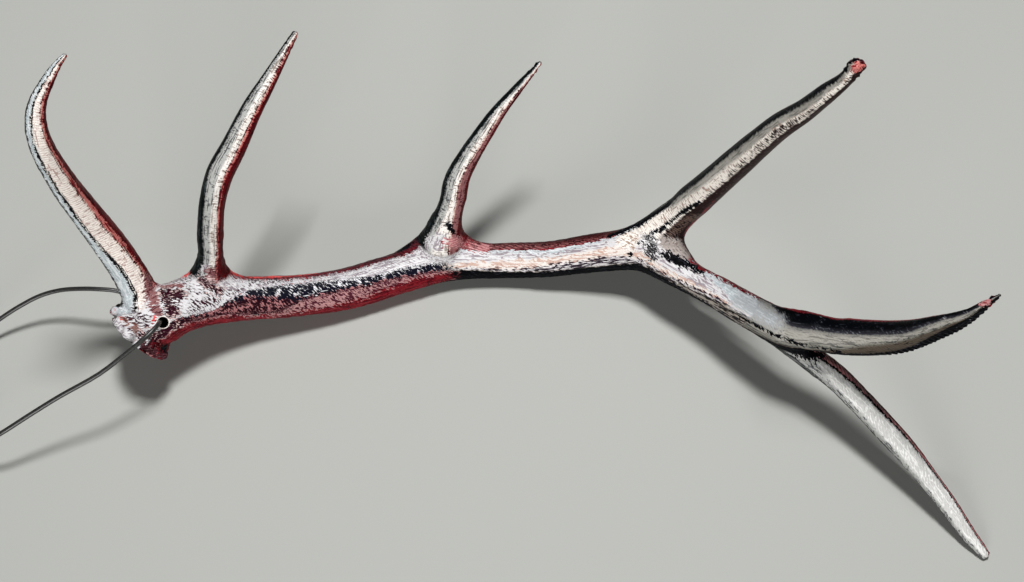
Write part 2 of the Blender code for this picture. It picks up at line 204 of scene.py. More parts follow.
# ---- the antler's colours
# A paint is its ground and its flecks, in sRGB from 0 to 255, and how much of it is flecks:
# the share of dabs along the print's lines, of streaks along the branch, and of fine hatching.
PAINTS = {
    "ink": ((6, 7, 10), (40, 42, 50), 0.1, 0.12, 0),
    "ink_mess": ((10, 10, 14), (236, 234, 234), 0.26, 0.1, 0.1),
    "green_ink": ((10, 15, 15), (48, 58, 60), 0.12, 0.18, 0),
    "dusk": ((44, 44, 50), (90, 92, 98), 0.2, 0.2, 0),
    "outline": ((50, 52, 52), (110, 112, 110), 0.2, 0.3, 0),
    "deep_red": ((60, 6, 12), (20, 6, 10), 0.25, 0.3, 0.3),
    "dark_red": ((96, 9, 17), (50, 5, 10), 0.2, 0.4, 0.2),
    "red": ((130, 26, 36), (76, 8, 18), 0.25, 0.45, 0.2),
    "bright_red": ((232, 84, 80), (176, 34, 40), 0.3, 0.3, 0),
    "maroon": ((48, 14, 22), (112, 72, 76), 0.2, 0.15, 0.3),
    "maroon_hatch": ((160, 98, 98), (44, 12, 18), 0.35, 0.15, 1),
    "maroon_dabs": ((38, 12, 20), (168, 112, 114), 0.38, 0.14, 0),
    "maroon_mess": ((48, 14, 26), (214, 186, 182), 0.28, 0.08, 0),
    "brown_rose": ((150, 112, 104), (76, 36, 38), 0.36, 0.2, 0),
    "pink_hatch": ((206, 150, 150), (140, 44, 54), 0.24, 0.05, 0.8),
    "rose": ((198, 114, 108), (118, 26, 32), 0.28, 0.38, 0),
    "mauve": ((140, 92, 92), (72, 28, 38), 0.26, 0.24, 0),
    "pink_dabs": ((174, 128, 128), (72, 28, 40), 0.44, 0.24, 0),
    "navy_dabs": ((18, 19, 30), (226, 224, 228), 0.26, 0.04, 0),
    "dashes": ((214, 210, 204), (10, 10, 14), 0.52, 0.56, 0),
    "spots": ((214, 180, 168), (60, 22, 26), 0.42, 0.4, 0),
    "pale_grey": ((170, 170, 167), (82, 84, 84), 0.26, 0.34, 0),
    "web_grey": ((166, 156, 150), (118, 106, 102), 0.15, 0.3, 0.3),
    "haze": ((160, 163, 165), (180, 183, 186), 0.2, 0.35, 0),
    "blue_grey": ((176, 186, 190), (214, 218, 220), 0.3, 0.45, 0),
    "satin": ((166, 163, 155), (116, 114, 108), 0.12, 0.36, 0.2),
    "olive": ((128, 126, 118), (66, 66, 64), 0.1, 0.45, 0),
    "flaky_silver": ((188, 187, 184), (226, 225, 222), 0.3, 0.3, 0.3),
    "white": ((210, 208, 209), (146, 136, 142), 0.32, 0.38, 0),
    "flaky": ((214, 212, 214), (50, 18, 30), 0.42, 0.06, 0),
    "lilac": ((208, 202, 204), (44, 34, 44), 0.38, 0.48, 0),
    "peach": ((224, 216, 209), (196, 164, 150), 0.34, 0.38, 0),
    "ivory": ((232, 226, 220), (140, 128, 120), 0.3, 0.34, 0.2),
    "cream": ((250, 242, 234), (184, 158, 150), 0.28, 0.2, 0.6),
    "rib": ((250, 244, 236), (164, 140, 126), 0.34, 0.08, 0.3),
    "dark_rib": ((240, 231, 220), (44, 30, 28), 0.44, 0.06, 0.6),
    "beige": ((86, 77, 67), (48, 42, 36), 0.1, 0.25, 0.4),
    "brown_grey": ((150, 142, 134), (36, 32, 34), 0.2, 0.5, 0),
    "dark_hatch": ((110, 88, 80), (12, 8, 10), 0.35, 0.1, 1),
    "black_hatch": ((20, 12, 13), (66, 46, 44), 0.14, 0.1, 0.5),
}
# The bands on each branch, from its back round by its left edge, its front and its right edge
# to its back again. The rows give, at a distance from the root, where each band ends: -1 is
# the left edge as seen with the root below, 0 the middle of the front and 1 the right edge.
BANDS = {
    "beam": (["maroon", "red", "flaky", "white", "navy_dabs", "maroon_dabs", "pink_dabs", "red", "ink",
        "ink"], {
        4: (-1.1, -1.05, 0.3, 0.31, 0.32, 0.56, 0.58, 1.9, 1.95),
        12: (-1.1, -1.05, 0.34, 0.35, 0.36, 0.6, 0.62, 1.9, 1.95),
        18: (-1.1, -1.05, 0.45, 0.46, 0.5, 0.7, 0.71, 1.9, 1.95),
        21: (-1, -0.98, 0.39, 0.4, 0.44, 0.68, 0.69, 1.9, 1.95),
        24: (-1, -0.94, 0.07, 0.08, 0.2, 0.66, 0.67, 1.88, 1.93),
        27: (-1, -0.9, -0.15, -0.14, 0.06, 0.72, 0.73, 1.86, 1.91),
        30: (-1, -0.86, -0.43, -0.42, -0.02, 0.78, 0.79, 1.82, 1.87),
        37: (-1, -0.84, -0.59, -0.57, 0.1, 0.7, 0.86, 1.74, 1.79),
        41: (-0.98, -0.84, -0.62, -0.58, 0.14, 0.24, 0.78, 1.66, 1.71),
        46: (-0.92, -0.82, -0.66, -0.58, 0.06, 0.08, 0.68, 1.58, 1.63),
        52: (-0.86, -0.82, -0.7, -0.46, 0.02, 0.03, 0.64, 1.46, 1.51),
        60: (-0.82, -0.8, -0.66, -0.24, 0.14, 0.15, 0.5, 1.28, 1.33),
        67: (-0.84, -0.82, -0.7, -0.16, 0.28, 0.29, 0.46, 1.12, 1.17),
        74: (-0.84, -0.82, -0.7, -0.04, 0.38, 0.39, 0.5, 0.96, 1.01),
        84: (-0.84, -0.82, -0.7, 0.04, 0.4, 0.41, 0.5, 0.82, 0.87),
    }),
    "far_beam": (["deep_red", "maroon_hatch", "red", "blue_grey", "white", "peach", "lilac",
        "brown_grey", "ink", "ink"], {
        71: (-0.98, -0.62, -0.61, -0.56, 0.1, 0.34, 0.4, 0.41, 0.46),
        81: (-0.94, -0.6, -0.59, -0.52, 0.08, 0.34, 0.48, 0.49, 0.54),
        88: (-0.9, -0.62, -0.61, -0.46, 0, 0.5, 0.62, 0.63, 0.68),
        95: (-0.86, -0.58, -0.57, -0.36, -0.06, 0.46, 0.64, 0.65, 0.7),
        102: (-0.76, -0.56, -0.55, -0.3, -0.06, 0.3, 0.66, 0.67, 0.72),
        111: (-0.68, -0.6, -0.59, -0.5, -0.2, 0.28, 0.7, 0.71, 0.76),
        116: (-0.72, -0.68, -0.67, -0.62, -0.2, 0.26, 0.7, 0.71, 0.76),
        121: (-0.9, -0.86, -0.85, -0.8, 0.1, 0.46, 0.7, 0.71, 0.76),
        126: (-1, -0.98, -0.94, -0.9, 0.16, 0.52, 0.68, 0.74, 0.8),
        129: (-1, -0.99, -0.84, -0.82, 0.24, 0.52, 0.66, 0.78, 0.84),
        135: (-1, -0.99, -0.8, -0.7, 0.24, 0.44, 0.6, 0.84, 0.89),
        142: (-1, -0.99, -0.8, -0.4, 0.24, 0.3, 0.44, 0.9, 0.94),
        148: (-1, -0.99, -0.82, 0.14, 0.18, 0.2, 0.32, 0.94, 0.98),
        158: (-1, -0.99, -0.82, 0.2, 0.22, 0.23, 0.26, 0.94, 0.98),
    }),
    "brow": (["ink", "outline", "blue_grey", "dashes", "cream", "spots", "rose", "dark_red",
        "deep_red"], {
        5: (-1, -0.94, -0.34, -0.14, 0.7, 0.76, 0.92, 1.1),
        14: (-1, -0.95, -0.4, -0.18, 0.56, 0.62, 0.82, 1.1),
        22: (-1, -0.95, -0.68, -0.48, 0.34, 0.41, 0.66, 1.1),
        27: (-1, -0.95, -0.74, -0.56, 0.3, 0.37, 0.6, 1.1),
        40: (-1, -0.95, -0.74, -0.52, 0.38, 0.46, 0.66, 1.1),
        48: (-1, -0.93, -0.7, -0.48, 0.44, 0.52, 0.72, 1.1),
        58: (-1, -0.9, -0.52, -0.3, 0.42, 0.52, 0.68, 1.1),
        66: (-1, -0.88, -0.4, -0.14, 0.42, 0.5, 0.62, 1.1),
        72: (-1, -0.9, -0.3, -0.2, 0.5, 0.6, 0.7, 1.1),
    }),
    "bez": (["ink", "green_ink", "pale_grey", "ivory", "spots", "rose", "dark_red", "deep_red"], {
        6: (-1.1, -0.5, -0.1, 0.32, 0.42, 0.58, 1.1),
        13: (-1.1, -0.5, -0.06, 0.42, 0.48, 0.56, 1.1),
        18: (-1.1, -0.52, -0.04, 0.45, 0.5, 0.57, 1.1),
        27: (-1.1, -0.56, 0.04, 0.48, 0.53, 0.6, 1.1),
        33: (-1.1, -0.78, -0.04, 0.36, 0.4, 0.5, 1.1),
        40: (-1.1, -0.76, -0.14, 0.34, 0.4, 0.54, 1.1),
        49: (-1.1, -0.74, -0.2, 0.36, 0.46, 0.6, 1.1),
        57: (-1.1, -0.68, -0.3, 0.24, 0.5, 0.6, 1.1),
        62: (-1.1, -0.64, -0.3, 0.1, 0.5, 0.6, 1.1),
        66: (-1.1, -0.5, 0, 0.3, 0.6, 0.8, 1.1),
    }),
    "trez": (["ink", "green_ink", "pale_grey", "ivory", "spots", "mauve", "dark_red", "deep_red"], {
        8: (-1.1, -0.76, -0.44, 0.44, 0.48, 0.8, 1.1),
        13: (-1.1, -0.68, -0.24, 0.34, 0.38, 0.8, 1.1),
        19: (-1.1, -0.62, -0.08, 0.22, 0.28, 0.8, 1.1),
        28: (-1.1, -0.6, -0.08, 0.36, 0.46, 0.8, 1.1),
        38: (-1.1, -0.44, -0.24, 0.36, 0.5, 0.72, 1.1),
        44: (-1.1, -0.28, 0, 0.3, 0.54, 0.6, 1.1),
        50: (-1.1, 0, 0.2, 0.4, 0.6, 0.7, 1.1),
    }),
    "royal": (["deep_red", "ink", "ink", "satin", "rib", "dark_rib", "black_hatch", "black_hatch",
        "deep_red"], {
        6: (-1.02, -0.9, -0.66, -0.6, 0.36, 0.38, 0.44, 1.02),
        12: (-1.02, -0.92, -0.7, -0.6, 0.22, 0.24, 0.3, 1),
        19: (-1.02, -0.92, -0.74, -0.54, 0.2, 0.26, 0.34, 0.98),
        27: (-1.02, -0.9, -0.62, -0.32, 0.32, 0.4, 0.5, 0.98),
        36: (-1.02, -0.9, -0.66, -0.26, 0.28, 0.48, 0.58, 0.99),
        44: (-1.02, -0.9, -0.66, -0.18, 0.14, 0.5, 0.6, 1),
        52: (-1.02, -0.9, -0.62, -0.1, 0, 0.56, 0.66, 1),
        61: (-1.02, -0.9, -0.56, -0.04, 0.06, 0.62, 0.72, 1),
        76: (-1.02, -0.9, -0.44, 0.1, 0.34, 0.6, 0.7, 1),
        84: (-1.02, -0.9, -0.5, -0.1, 0.4, 0.6, 0.7, 1),
        88: (-1.02, -1, -0.98, -0.6, -0.1, 0.1, 0.12, 1),
    }),
    "fifth": (["deep_red", "red", "ink", "ink", "dusk", "satin", "olive", "beige", "ink", "ink"], {
        5: (-1.02, -0.92, -0.9, -0.88, -0.86, 0.5, 0.88, 0.89, 0.95),
        10: (-1.02, -0.9, -0.8, -0.5, -0.34, 0.56, 0.88, 0.89, 0.95),
        16: (-1.02, -0.92, -0.84, -0.34, -0.2, 0.56, 0.88, 0.89, 0.95),
        21: (-1.02, -0.92, -0.84, -0.26, -0.1, 0.56, 0.84, 0.88, 0.94),
        30: (-1.02, -0.92, -0.84, -0.3, -0.14, 0.34, 0.4, 0.86, 0.93),
        41: (-1.02, -0.94, -0.84, -0.32, -0.14, 0.22, 0.24, 0.86, 0.94),
        47: (-1.02, -0.94, -0.84, -0.46, -0.28, 0.14, 0.16, 0.62, 0.74),
        52: (-1.02, -0.94, -0.86, -0.58, -0.42, 0.04, 0.06, 0.34, 0.46),
        58: (-1.02, -0.94, -0.86, -0.48, -0.32, 0.12, 0.13, 0.2, 0.3),
        65: (-1.02, -0.9, -0.8, -0.3, -0.2, 0, 0.01, 0.02, 0.06),
    }),
    "tip": (["deep_red", "dark_red", "pink_hatch", "ink", "flaky_silver", "pale_grey", "outline",
        "ink"], {
        5: (-1.2, -1.15, -1.1, -1.05, -0.2, 0.5, 0.98),
        18: (-1.2, -0.95, -0.56, -0.42, 0.1, 0.8, 0.98),
        24: (-1.1, -0.95, -0.56, -0.44, 0.5, 0.92, 1),
        30: (-1.1, -0.95, -0.74, -0.62, 0.6, 0.92, 1),
        42: (-1.1, -0.94, -0.84, -0.76, 0.6, 0.92, 1),
        52: (-1.1, -0.94, -0.88, -0.82, 0.64, 0.94, 1),
        60: (-1.1, -0.92, -0.88, -0.86, 0.6, 0.92, 1),
        70: (-1.1, -0.88, -0.84, -0.82, 0.5, 0.9, 1),
    }),
}
# The beam changes its bands where the third point leaves it, so it is painted as two.
CHANGE_OF_BANDS = (71.0, 80.0)  # along the beam
# How the print lies on each branch: the way that its lines run, in degrees from along it to across
# it, how ragged the bands' edges are, in millimetres, and how soft, as a share of a band's width.
PRINT = {
    "beam": (44, 4.2, 0.06), "far_beam": (18, 2.4, 0.12), "brow": (100, 1.2, 0.07), "bez": (90, 1, 0.12),
    "trez": (78, 1, 0.12), "royal": (92, 1.3, 0.2), "fifth": (38, 0.5, 0.34), "tip": (30, 1, 0.1),
}
LEAST_BAND = 0.004  # a band's least width
MOST_BANDS = 4.0  # in a millimetre
# Where each branch gives way to its parent, as a distance from its root.
ROOTS = {"brow": 0.6, "bez": 4.0, "trez": 6.0, "royal": 6.0, "fifth": 11.0, "tip": 16.0}
BEAM_END = 146.0  # where the beam gives way to its last two branches
BEAM_FADE = 8.0
# How much farther out a place counts there and at a root, and how fast a share falls outwards.
END_PUSH, ROOT_PUSH, SHARE_FALL = 1.5, 0.8, 3.0
# Blotches that cross the bands, by their paint: how far each reaches, and the line that it follows.
BLOTCHES = {
    "flaky": [(1.6, (-83.5, -3.5, 20.4), (-80, -5.8, 19.8))],
    "white": [
        (1.2, (-68.5, 7.3, 22), (-70.5, 5.5, 18.5)), (1.8, (-21.5, 19.8, 12), (-19, 19.3, 13.6)),
        (1, (-86.4, -4, 20.6), (-83.6, -7.4, 20.2)), (0.9, (-83.6, -7.4, 20.2), (-81.2, -9, 18.2)),
        (1.4, (-66.5, 6.5, 16), (-62.5, 8, 13.4)),
    ],
    "mauve": [
        (1.7, (-79.6, 4.6, 22.6), (-79, 1, 20.2)), (1.4, (-79, 1, 20.2), (-77.7, -2.2, 20.1)),
        (1.2, (-77.6, 4.6, 19.9), (-74, 4.8, 19.4)), (1.5, (-67.5, 6.8, 20.5), (-67.8, 6, 18)),
    ],
    "brown_rose": [(1.2, (-84.4, -3.8, 21), (-80.6, -7, 19.6))],
    "maroon_mess": [
        (1.9, (-76.5, 2.4, 20.1), (-73.8, 2, 19.8)), (1.8, (-75.8, 0.8, 20), (-74.8, -1.6, 19.6)),
        (1.3, (-80.6, -7.2, 19.2), (-76.2, -6.2, 17)), (0.9, (-76.6, -5.6, 18), (-73, -3.6, 16.4)),
        (1.3, (-69.4, 6, 19), (-66, 4.8, 16.6)),
    ],
    "dark_red": [(1, (-82.6, 7.2, 30), (-79.3, 6.3, 21.2)), (1, (-65, 9.6, 21.6), (-64.6, 10.2, 16.5))],
    "bright_red": [
        (0.8, (-79.8, 7.4, 21), (-77, 7.7, 19.2), (-73, 8.4, 17.6)),
        (0.7, (-64.4, 10.6, 15.2), (-59.5, 10.9, 12.4), (-54.3, 12, 10.6)),
        (0.5, (-54.3, 12, 10.6), (-47, 13.8, 8.8)), (0.9, (-87.8, 0.4, 18.6), (-86.6, 0.6, 20.2)),
        (0.7, (-86.6, -2, 20.6), (-86, -1.6, 21)), (0.7, (-85.2, -3.6, 21.2), (-84.8, -4.4, 21.2)),
        (0.5, (-79.4, -9.8, 14.4), (-78.6, -9.2, 13.4)), (0.5, (-77.6, -9, 12.4), (-77, -8.6, 12.6)),
        (0.4, (-81.4, -9.6, 16.8), (-80.6, -9.6, 16)), (0.3, (-77.9, -3, 19.9), (-78.8, -5, 19.4)),
    ],
    "red": [
        (1.2, (-80, -8.6, 17), (-77, -7.4, 14.6)), (0.7, (34.3, 18.2, 18.3), (36.2, 17.9, 25.5)),
        (0.5, (36.2, 17.9, 25.5), (38.5, 17, 34)), (0.6, (82.6, -21.9, 56.5), (83.8, -21.8, 59)),
    ],
    "maroon": [(1.1, (-80.5, -9, 18.2), (-78.5, -9.5, 15)), (1.3, (-78.5, -9.5, 15), (-76.5, -8.6, 12))],
    "spots": [(0.7, (-83.4, 6.3, 31), (-83, 6.2, 29.5))],
    "haze": [(3.8, (44, 0.6, 20), (51, -5.2, 21.6))],
    "web_grey": [(2.8, (30, 16.6, 17.6), (33.6, 14.2, 16.8))],
    "rib": [(3.6, (21, 18, 15.5), (30, 20, 23))],
    "dark_hatch": [(1.5, (31, 17.6, 19.6), (35.4, 17.6, 26.5))],
    "ink": [
        (1, (-28.6, 20.6, 8), (-22, 24.5, 12.5)), (0.8, (18.1, 20.5, 13.8), (22.4, 21, 16.3)),
        (0.9, (22.4, 21, 16.3), (26.5, 21.4, 20.1), (30.3, 21.8, 25)),
        # This mark and the first one on the next line are painted shade in the hollow between the fifth
        # point and the tip.
        (1.7, (55.6, -9.9, 17.3), (58.6, -10.4, 16.9)),
        (1.1, (58.6, -10.4, 16.9), (60.8, -10.8, 16.5)), (0.4, (42.5, -0.8, 17.6), (50, -7.3, 20.2)),
        # With the last mark on the line above, the next two blacken the groove between the fifth point
        # and the tip: painted shade in the crease.
        (0.5, (50, -7.3, 20.2), (55.8, -10.4, 20.8)),
        (0.45, (55.8, -10.4, 20.8), (62.9, -13.9, 24.3)),
        (1.15, (29.4, 14.2, 16.2), (36.8, 9.6, 17.4)), (0.55, (24, 17.2, 16), (28.4, 18.8, 19.4)),
        (0.6, (28.6, 18.3, 19.3), (32.3, 18.4, 26)), (0.55, (32.3, 18.4, 26), (35.6, 17.2, 32.4)),
        (0.5, (22.2, 15.8, 13.8), (22.9, 15.7, 13.9)), (0.4, (17.2, 15.9, 11.2), (17.7, 15.9, 11.3)),
        (0.7, (-17.4, 21.7, 16.2), (-16.4, 21.1, 14.4)), (0.4, (-15.8, 21.2, 13), (-15.2, 21, 12)),
        (0.9, (-77.8, -8, 14.6), (-76.4, -7, 13)),
    ],
    "ink_mess": [(1.8, (26.4, 17.4, 16.9), (27, 14.6, 15.8))],
    "pink_hatch": [
        (1.5, (-17.5, 19.8, 12.6), (-9.5, 21.4, 7.8)),
        (0.7, (80.9, -21.2, 56.6), (81.8, -21.2, 57.8)),
    ],
    "rose": [(1.2, (54.2, 5.4, 89.8), (56.8, 6.6, 92))],
}
# How far the patterns push a blotch's edge, and how sharp that edge is.
BLOTCH_EDGE = (3.2, 9.0)
SOFT_BLOTCHES = {"haze": (0.8, 1.8), "rib": (2.4, 2.4), "web_grey": (0.8, 3.0)}
# The patterns' scales to a millimetre, for the noises along the print's lines or the branch,
# beside them and above, and the hatching's pitch.
DAB_SCALE = (0.95, 3.0, 1.9)
BROAD_SCALE = 0.34
STREAK_SCALE = (0.25, 2.8, 2.8)
GRAIN_SCALE = (1.6, 7.0, 7.0)
HATCH_PITCH = 0.55
HATCH_STRENGTH = 0.8
# In each pair a value is multiplied by the first number, and the second is added.
BROAD_SHARE = (0.34, -0.17)
BRANCH_EDGE = (3.6, -1.3)
BACK_EDGE = (12.0, -10.6)
# The first pair lays cream round the hole's mouth: a painted highlight ring.
RIM_HIGHLIGHT_EDGE = (-20.0, 24.2)
# The second pair paints the hole's walls black: painted shade inside the hole.
BORE_SHADE_EDGE = (-30.0, 31.5)
FLECK_LEVEL = (0.44, -0.72)
FLECK_EDGE = (22.0, 0.5)
SHADE = (0.5, 0.72)
SHINE = (0.5, 0.02)
ROUGHNESS = (0.16, 0.28)
EVEN_SHINE = 0.3


# ---- small helpers
def tone(colour):
    """A colour in sRGB from 0 to 255 as linear values from 0 to 1."""
    shares = [value / 255 for value in colour]
    return [s / 12.92 if s <= 0.04045 else ((s + 0.055) / 1.055) ** 2.4 for s in shares]


def through(points, steps):
    """A smooth line through the points, with steps stretches from each to the next."""
    rows = [Vector(p) for p in points]
    rows = [2 * rows[0] - rows[1], *rows, 2 * rows[-1] - rows[-2]]
    line = []
    for a, b, c, d in zip(rows, rows[1:], rows[2:], rows[3:]):
        for i in range(steps):
            t = i / steps
            line.append(
                0.5 * (2 * b + (c - a) * t + (2 * a - 5 * b + 4 * c - d) * t * t)
                + 0.5 * (3 * b - a - 3 * c + d) * t ** 3
            )
    return [*line, rows[-2]]


def smooth_step(value):
    value = min(1.0, max(0.0, value))
    return value * value * (3 - 2 * value)


def show(obj):
    bpy.context.scene.collection.objects.link(obj)
    return obj


def new_material(name):
    made = bpy.data.materials.new(name)
    made.use_nodes = True
    return made, made.node_tree, made.node_tree.nodes["Principled BSDF"]


def feed(tree, source, socket):
    """Feeds a socket from another one or with a constant."""
    if isinstance(source, bpy.types.NodeSocket):
        tree.links.new(source, socket)
    elif source is not None:
        socket.default_value = source


def node(tree, kind, *sources, output=0, **settings):
    """Adds a node fed in order by sockets or constants, and gives one of its outputs."""
    made = tree.nodes.new(kind)
    for name, value in settings.items():
        setattr(made, name, value)
    for socket, source in zip(made.inputs, sources):
        feed(tree, source, socket)
    return made.outputs[output]


def math_node(tree, operation, *sources, clamp=False):
    return node(tree, "ShaderNodeMath", *sources, operation=operation, use_clamp=clamp)


def scaled(tree, value, factors, clamp=False):
    return math_node(tree, "MULTIPLY_ADD", value, *factors, clamp=clamp)


def mixed(tree, share, first, second):
    """A colour between two, by a share."""
    made = tree.nodes.new("ShaderNodeMix")
    made.data_type = "RGBA"
    for slot, source in ((0, share), (6, first), (7, second)):
        feed(tree, source, made.inputs[slot])
    return made.outputs[2]


def parted(tree, source, kind="XYZ"):
    """The three outputs of a vector or a colour."""
    return node(tree, f"ShaderNodeSeparate{kind}", source).node.outputs


def ramp(tree, source, stops):
    made = tree.nodes.new("ShaderNodeValToRGB")
    tree.links.new(source, made.inputs[0])
    elements = made.color_ramp.elements
    elements[0].position, elements[0].color = stops[0]
    elements[1].position, elements[1].color = stops[-1]
    for position, colour in stops[1:-1]:
        elements.new(position).color = colour
    return made.outputs[0]


def raise_surface(tree, shader, height, strength, depth):
    """Bump, as deep as given in millimetres."""
    bump = tree.nodes.new("ShaderNodeBump")
    bump.inputs["Strength"].default_value = strength
    bump.inputs["Distance"].default_value = depth * MM
    tree.links.new(height, bump.inputs["Height"])
    tree.links.new(bump.outputs[0], shader.inputs["Normal"])


# ---- the antler's mesh
def loft(bm, stations, depth):
    """A closed branch with oval sections, round at both ends."""
    line = through(stations, SPAN_STEPS)
    centres = [p.to_3d() for p in line]
    rings = []
    for i, (centre, station) in enumerate(zip(centres, line)):
        along = (centres[min(i + 1, len(line) - 1)] - centres[max(i - 1, 0)]).normalized()
        across = along.cross(FACE).normalized()
        over = across.cross(along)
        half = station[3]
        ring = []
        for k in range(RING_SIDES):
            turn = 2 * math.pi * k / RING_SIDES
            offset = across * half * math.cos(turn) + over * half * depth * math.sin(turn)
            ring.append(bm.verts.new((centre + offset) * MM))
        rings.append(ring)
    for low, high in zip(rings, rings[1:]):
        for k in range(RING_SIDES):
            after = (k + 1) % RING_SIDES
            bm.faces.new((low[k], low[after], high[after], high[k]))
    for ring, end, inner in ((rings[0], 0, 1), (rings[-1], -1, -2)):
        outward = (centres[end] - centres[inner]).normalized() * line[end][3] * 0.6
        pole = bm.verts.new((centres[end] + outward) * MM)
        for k in range(RING_SIDES):
            bm.faces.new((ring[k], ring[(k + 1) % RING_SIDES], pole))


def burr_knobs(bm):
    """A ring of uneven knobs around the base."""
    side = BURR_NORMAL.cross(Vector((0, 0, 1))).normalized()
    up = side.cross(BURR_NORMAL)
    for k in range(BURR_KNOBS):
        turn = 2 * math.pi * k / BURR_KNOBS
        swell = 1 + 0.22 * math.sin(5.3 * k) + 0.12 * math.sin(2.1 * k + 1)
        reach = BURR_RADIUS + 0.3 + 0.4 * math.sin(3.7 * k)
        middle = Vector(BURR_CENTRE) + reach * (side * math.cos(turn) + up * math.sin(turn))
        middle -= BURR_NORMAL * 0.5 * math.sin(4.1 * k)
        place = Matrix.Translation(middle * MM)
        bmesh.ops.create_icosphere(bm, subdivisions=3, radius=KNOB_RADIUS * swell * MM, matrix=place)


def object_from(bm, name):
    """An object with the surface built so far, which it frees."""
    bmesh.ops.recalc_face_normals(bm, faces=bm.faces)
    mesh = bpy.data.meshes.new(name)
    bm.to_mesh(mesh)
    bm.free()
    return show(bpy.data.objects.new(name, mesh))


def evaluated_mesh(obj):
    bpy.context.view_layer.update()
    return bpy.data.meshes.new_from_object(obj.evaluated_get(bpy.context.evaluated_depsgraph_get()))


def bore_stations():
    """The middle of the cord's hole and its radius, from above its mouth down."""
    way, side = Vector(HOLE_AXIS).normalized(), Vector(HOLE_SIDE).normalized()
    return [(*(Vector(HOLE_MOUTH) + way * down + side * off), radius) for down, off, radius in HOLE_BENDS]


def melted_skin():
    """The branches, webs and knobs melted into one closed skin."""
    bm = bmesh.new()
    for name, stations in STATIONS.items():
        loft(bm, stations, DEPTHS[name])
    for stations in WEBS:
        loft(bm, stations, 1.0)
    burr_knobs(bm)
    raw = object_from(bm, "raw_antler")
    melt = raw.modifiers.new("melt", "REMESH")
    melt.mode = "VOXEL"
    melt.voxel_size = VOXEL * MM
    made = evaluated_mesh(raw)
    bpy.data.objects.remove(raw)
    return made


def drilled(mesh):
    """The mesh with the cord's hole through it."""
    solid = show(bpy.data.objects.new("undrilled", mesh))
    bm = bmesh.new()
    loft(bm, bore_stations(), 1.0)
    cutter = object_from(bm, "drill")
    bore = solid.modifiers.new("bore", "BOOLEAN")
    bore.operation = "DIFFERENCE"
    bore.solver = "EXACT"
    bore.object = cutter
    made = evaluated_mesh(solid)
    bpy.data.objects.remove(solid)
    bpy.data.objects.remove(cutter)
    return made


def read_rows(source, key, width, kind=np.float32):
    """Rows of numbers from one of a mesh's lists."""
    values = np.zeros(len(source) * width, kind)
    source.foreach_get(key, values)
    return values.reshape(-1, width)


def get_places(mesh):
    """The mesh's points in millimetres."""
    return read_rows(mesh.vertices, "co", 3).astype(float) / MM


def set_places(mesh, places):
    mesh.vertices.foreach_set("co", (places * MM).astype(np.float32).ravel())
    mesh.update()


def unit_rows(rows):
    return rows / np.linalg.norm(rows, axis=1, keepdims=True)


def noise_at(places):
    return np.array([noise.noise(Vector(place)) for place in places])


def gap_to_line(places, start, end):
    """How far each point is from the line between two places."""
    start, way = np.array(start), np.array(end) - np.array(start)
    share = np.clip(((places - start) @ way) / (way @ way), 0, 1)
    return np.linalg.norm(places - start - share[:, None] * way, axis=1)


def gap_to_path(places, path):
    """How far each point is from a line through several places."""
    return np.min([gap_to_line(places, a, b) for a, b in zip(path, path[1:])], axis=0)


def smoothed(places, edges, weights, rounds):
    """The points after rounds in which each moves toward the middle of its neighbours."""
    ends = np.concatenate([edges[:, 0], edges[:, 1]])
    others = np.concatenate([edges[:, 1], edges[:, 0]])
    count = len(places)
    neighbours = np.bincount(ends, minlength=count)[:, None]
    for _ in range(rounds):
        sums = [np.bincount(ends, places[others, k], count) for k in range(3)]
        places = places + (np.stack(sums, axis=1) / neighbours - places) * weights[:, None]
    return places


def fork_share(places):
    """1 in the middle of a fork, falling to 0 at the edge of its zone."""
    shares = [1.6 - 1.6 * gap_to_line(places, start, end) / reach for start, end, reach in FORKS]
    return np.clip(np.max(shares, axis=0), 0, 1)


def past_burr(places):
    """How far each point is past the middle plane of the ring of knobs."""
    return (places - np.array(BURR_CENTRE)) @ np.array(BURR_NORMAL)


def burr_share(places):
    """1 on the ring of knobs, falling to 0 away from it."""
    past = past_burr(places)
    out = np.linalg.norm(places - np.array(BURR_CENTRE) - past[:, None] * np.array(BURR_NORMAL), axis=1)
    return np.clip(2.2 - np.hypot(past, out - BURR_RADIUS) / 1.5, 0, 1)


def branch_fields(name, places):
    """Where each point lies on a branch: along it, across it, above it, and how far out."""
    line = np.array([list(p) for p in through(STATIONS[name], FIELD_STEPS)])
    centres, halves = line[:, :3], line[:, 3]
    steps = np.diff(centres, axis=0)
    lengths = np.concatenate([[0.0], np.cumsum(np.linalg.norm(steps, axis=1))])
    along = unit_rows(np.gradient(centres, axis=0))
    sight = unit_rows(np.array(BAND_FRONT) - centres)
    across = unit_rows(np.cross(along, sight))
    over = np.cross(across, along)
    nearest = np.zeros(len(places), int)
    for start in range(0, len(places), BLOCK):
        gaps = ((places[start:start + BLOCK, None, :] - centres[None, :, :]) ** 2).sum(2)
        nearest[start:start + BLOCK] = gaps.argmin(1)
    offset = places - centres[nearest]
    ahead = (offset * along[nearest]).sum(1)
    distance = np.clip(lengths[nearest] + ahead, 0, lengths[-1])
    x = (offset * across[nearest]).sum(1)
    y = (offset * over[nearest]).sum(1) / DEPTHS[name]
    half = np.interp(distance, lengths, halves)
    beyond = np.where((nearest == 0) | (nearest == len(centres) - 1), np.abs(ahead), 0.0)
    reach = np.sqrt(x * x + y * y + beyond * beyond) / half
    turn = np.arctan2(x, y)
    front, back = np.sin(turn), np.sign(turn) * (2 - np.abs(np.sin(turn)))
    side = np.where(np.abs(turn) <= math.pi / 2, front, back)
    return {"s": distance, "x": x, "y": y, "half": half, "reach": reach, "side": side}


